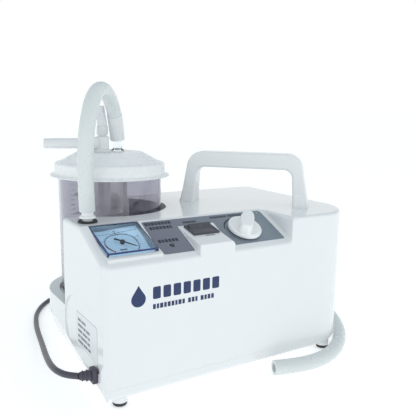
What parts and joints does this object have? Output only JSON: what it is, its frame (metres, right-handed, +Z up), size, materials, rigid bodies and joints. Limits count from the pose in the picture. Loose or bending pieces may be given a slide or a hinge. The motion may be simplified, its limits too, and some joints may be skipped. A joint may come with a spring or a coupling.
{
  "type": "suction pump",
  "caption": "Portable electric suction pump: white case with sloping console, vacuum gauge, rocker and knob, collection jar with looped hose in a corner niche, diagonal handle.",
  "frame": {"origin": "on the surface it stands on, under the middle of the case", "axes": "+X to the right along the front, +Y to the back, +Z up"},
  "size_m": [0.3995, 0.4215, 0.2689],
  "materials": {
    "case_plastic": "glossy moulded, off-white",
    "foot_rubber": "matt",
    "zinc_steel": "zinc plated",
    "handle_plastic": "glossy",
    "overlay_print": "printed grey film",
    "lamp_lens": "unlit lens",
    "gauge_blue": "clear blue window",
    "gauge_face": "printed dial",
    "steel_can": "drawn steel",
    "brass_part": "machined",
    "black_paint": "black",
    "switch_plastic": "fine texture",
    "knob_plastic": "glossy",
    "smoked_clear": "smoke-tinted clear",
    "lid_plastic": "glossy",
    "seal_rubber": "matt silicone",
    "soft_clear": "soft translucent",
    "clear_plastic": "clear",
    "float_plastic": "satin",
    "black_rubber": "matt",
    "lamination_steel": "stacked laminations",
    "copper_winding": "enamelled copper",
    "cast_alloy": "as cast",
    "bearing_steel": "ground",
    "fan_plastic": "matt",
    "terminal_plastic": "matt",
    "wire_pvc": "sleeved",
    "plate_print": "printed film",
    "cord_rubber": "satin PVC",
    "tie_plastic": "matt",
    "hose_pvc": "translucent soft PVC"
  },
  "bodies": {
    "root": {"air_lines": "soft_clear", "base_tray": "case_plastic", "bourdon_tube": "brass_part", "case_screws": "zinc_steel", "console_overlay": "overlay_print", "cord_bushing": "cord_rubber", "cord_tie": "tie_plastic", "crankcase": "cast_alloy", "diaphragm": "black_rubber", "exhaust_silencer": "fan_plastic", "exhaust_spigot": "lid_plastic", "foot_pads": "foot_rubber", "front_bell": "cast_alloy", "gauge_can": "steel_can", "gauge_dial": "gauge_face", "gauge_window": "gauge_blue", "handle": "handle_plastic", "handle_screws": "zinc_steel", "head_screws": "zinc_steel", "inlet_elbow": "lid_plastic", "inlet_grommet": "black_rubber", "motor_bearings": "bearing_steel", "power_cord": "cord_rubber", "power_cord_coil": "cord_rubber", "power_lamp": "lamp_lens", "power_plug": "cord_rubber", "pump_head": "cast_alloy", "pump_mounts": "black_rubber", "pump_plate": "zinc_steel", "rating_plate": "plate_print", "rear_bell": "cast_alloy", "regulator_valve": "brass_part", "run_capacitor": "steel_can", "stator_core": "lamination_steel", "stator_windings": "copper_winding", "suction_hose": "hose_pvc", "suction_hose_coil": "hose_pvc", "switch_body": "switch_plastic", "switch_wires": "wire_pvc", "terminal_block": "terminal_plastic", "upper_housing": "case_plastic", "valve_plate": "cast_alloy"},
    "jar": {"collection_jar": "smoked_clear"},
    "lid": {"jar_lid": "lid_plastic", "lid_seal": "seal_rubber", "patient_port": "lid_plastic", "vacuum_nozzle": "clear_plastic", "float_cage": "lid_plastic", "jar_hose": "hose_pvc", "hose_connector": "lid_plastic"},
    "float_ball": {"float_ball": "float_plastic"},
    "cap": {"port_cap": "soft_clear"},
    "knob": {"regulator_knob": "knob_plastic", "regulator_stem": "brass_part"},
    "rocker": {"switch_rocker": "switch_plastic"},
    "needle": {"gauge_needle": "black_paint"},
    "rotor": {"rotor": "lamination_steel", "cooling_fan": "fan_plastic", "eccentric": "bearing_steel"},
    "rod": {"connecting_rod": "cast_alloy"}
  },
  "joints": [
    {"name": "jar_lift", "type": "slide", "parent": "root", "child": "jar", "axis": [0, 0, 1], "range_m": [0, 0.09]},
    {"name": "lid_lift", "type": "slide", "parent": "jar", "child": "lid", "axis": [0, 0, 1], "range_m": [0, 0.07]},
    {"name": "float_rise", "type": "slide", "parent": "lid", "child": "float_ball", "axis": [0, 0, 1], "range_m": [0, 0.018]},
    {"name": "cap_pull", "type": "slide", "parent": "lid", "child": "cap", "axis": [0, 0, 1], "range_m": [0, 0.006]},
    {"name": "knob_turn", "type": "hinge", "parent": "root", "child": "knob", "pos_m": [0.0105, -0.0738, 0.13363], "axis": [0, -0.4239, 0.9057], "range_deg": [0, 110]},
    {"name": "rocker_tilt", "type": "hinge", "parent": "root", "child": "rocker", "pos_m": [-0.0343, -0.0708, 0.13806], "axis": [1, 0, 0], "range_deg": [-24, 0]},
    {"name": "needle_swing", "type": "hinge", "parent": "root", "child": "needle", "pos_m": [-0.1093, -0.067, 0.13895], "axis": [0, -0.3107, 0.9505], "range_deg": [0, 270]},
    {"name": "rotor_spin", "type": "hinge", "parent": "root", "child": "rotor", "pos_m": [0, 0.032, 0.066], "axis": [1, 0, 0], "continuous": true},
    {"name": "rod_stroke", "type": "slide", "parent": "root", "child": "rod", "axis": [0, 0, 1], "range_m": [-0.003, 0.003]}
  ]
}
